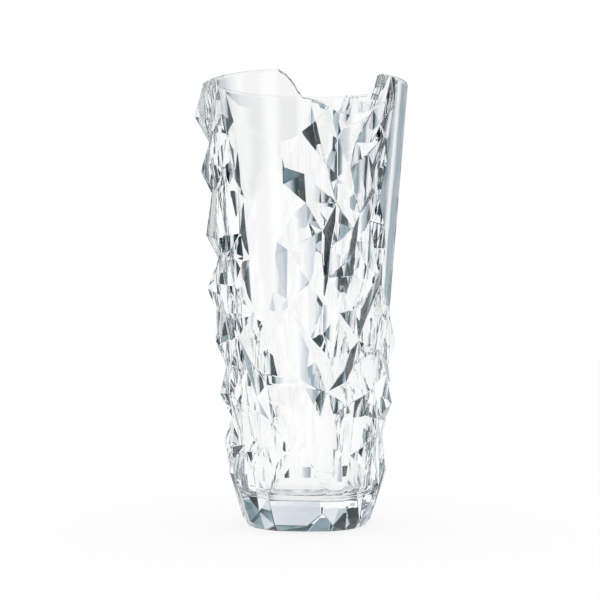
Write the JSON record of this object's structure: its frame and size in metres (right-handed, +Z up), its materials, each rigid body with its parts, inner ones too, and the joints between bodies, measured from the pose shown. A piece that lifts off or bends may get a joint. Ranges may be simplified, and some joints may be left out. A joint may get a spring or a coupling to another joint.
{
  "type": "vase",
  "caption": "Tall tapered vase of clear cut crystal with smooth panels between bands of broken-looking crags, a heavy base and a chipped rim.",
  "frame": {"origin": "centre of the flat foot on the table, on the axis of the smooth taper", "axes": "+Z up along the vase's axis and out of its mouth, -Y towards the front where the rim is broken, +X to the right seen from the front"},
  "size_m": [0.1355, 0.1326, 0.28],
  "materials": {
    "crystal": "polished clear lead-free crystal"
  },
  "bodies": {
    "root": {"crystal_vase": "crystal"}
  },
  "joints": []
}
